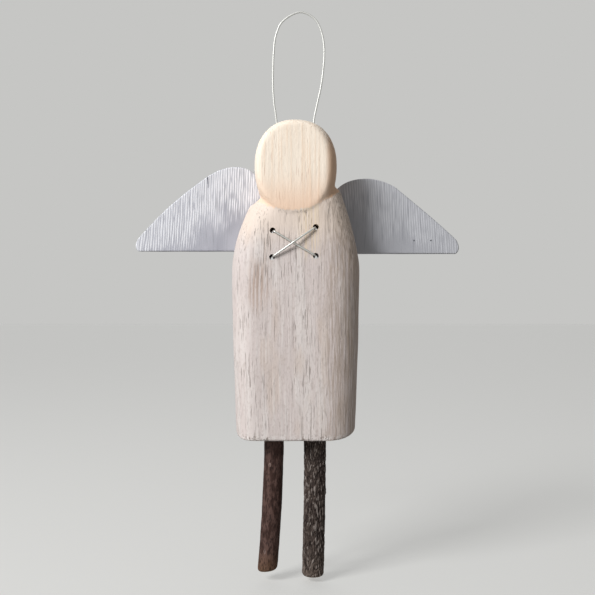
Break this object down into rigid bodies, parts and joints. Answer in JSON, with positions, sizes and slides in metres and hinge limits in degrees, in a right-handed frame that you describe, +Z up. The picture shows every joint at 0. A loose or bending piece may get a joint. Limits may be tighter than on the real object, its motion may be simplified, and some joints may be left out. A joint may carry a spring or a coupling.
{
  "type": "hanging angel ornament",
  "caption": "Rustic hanging angel: carved wooden head and robe, board wings on its back, twig legs, wire laced crosswise through the chest, and a wire loop that swings on a staple.",
  "frame": {"origin": "inside of the top of the wire loop, where a hook or nail holds it", "axes": "+Z up along the hanging figure, front of the figure towards -Y, +X to the right of someone facing it"},
  "size_m": [0.1466, 0.0306, 0.2524],
  "materials": {
    "carved_wood": "sanded, robe in a thin wash",
    "washed_wood": "thin white wash",
    "red_bark": "smooth bark",
    "grey_bark": "fissured bark",
    "silver_wire": "bright drawn wire",
    "brad_steel": "plain steel"
  },
  "bodies": {
    "hanger": {"hanger_loop": "silver_wire"},
    "angel": {"carved_block": "carved_wood", "wing_left": "washed_wood", "wing_right": "washed_wood", "leg_left": "red_bark", "leg_right": "grey_bark", "chest_wire": "silver_wire", "hanger_staple": "silver_wire", "wing_brad_left_lower": "brad_steel", "wing_brad_left_upper": "brad_steel", "wing_brad_right_lower": "brad_steel", "wing_brad_right_upper": "brad_steel"}
  },
  "joints": [
    {"name": "loop_swing", "type": "hinge", "parent": "hanger", "child": "angel", "pos_m": [0, 0.00125, -0.06455], "axis": [1, 0, 0], "range_deg": [0, 170]}
  ]
}
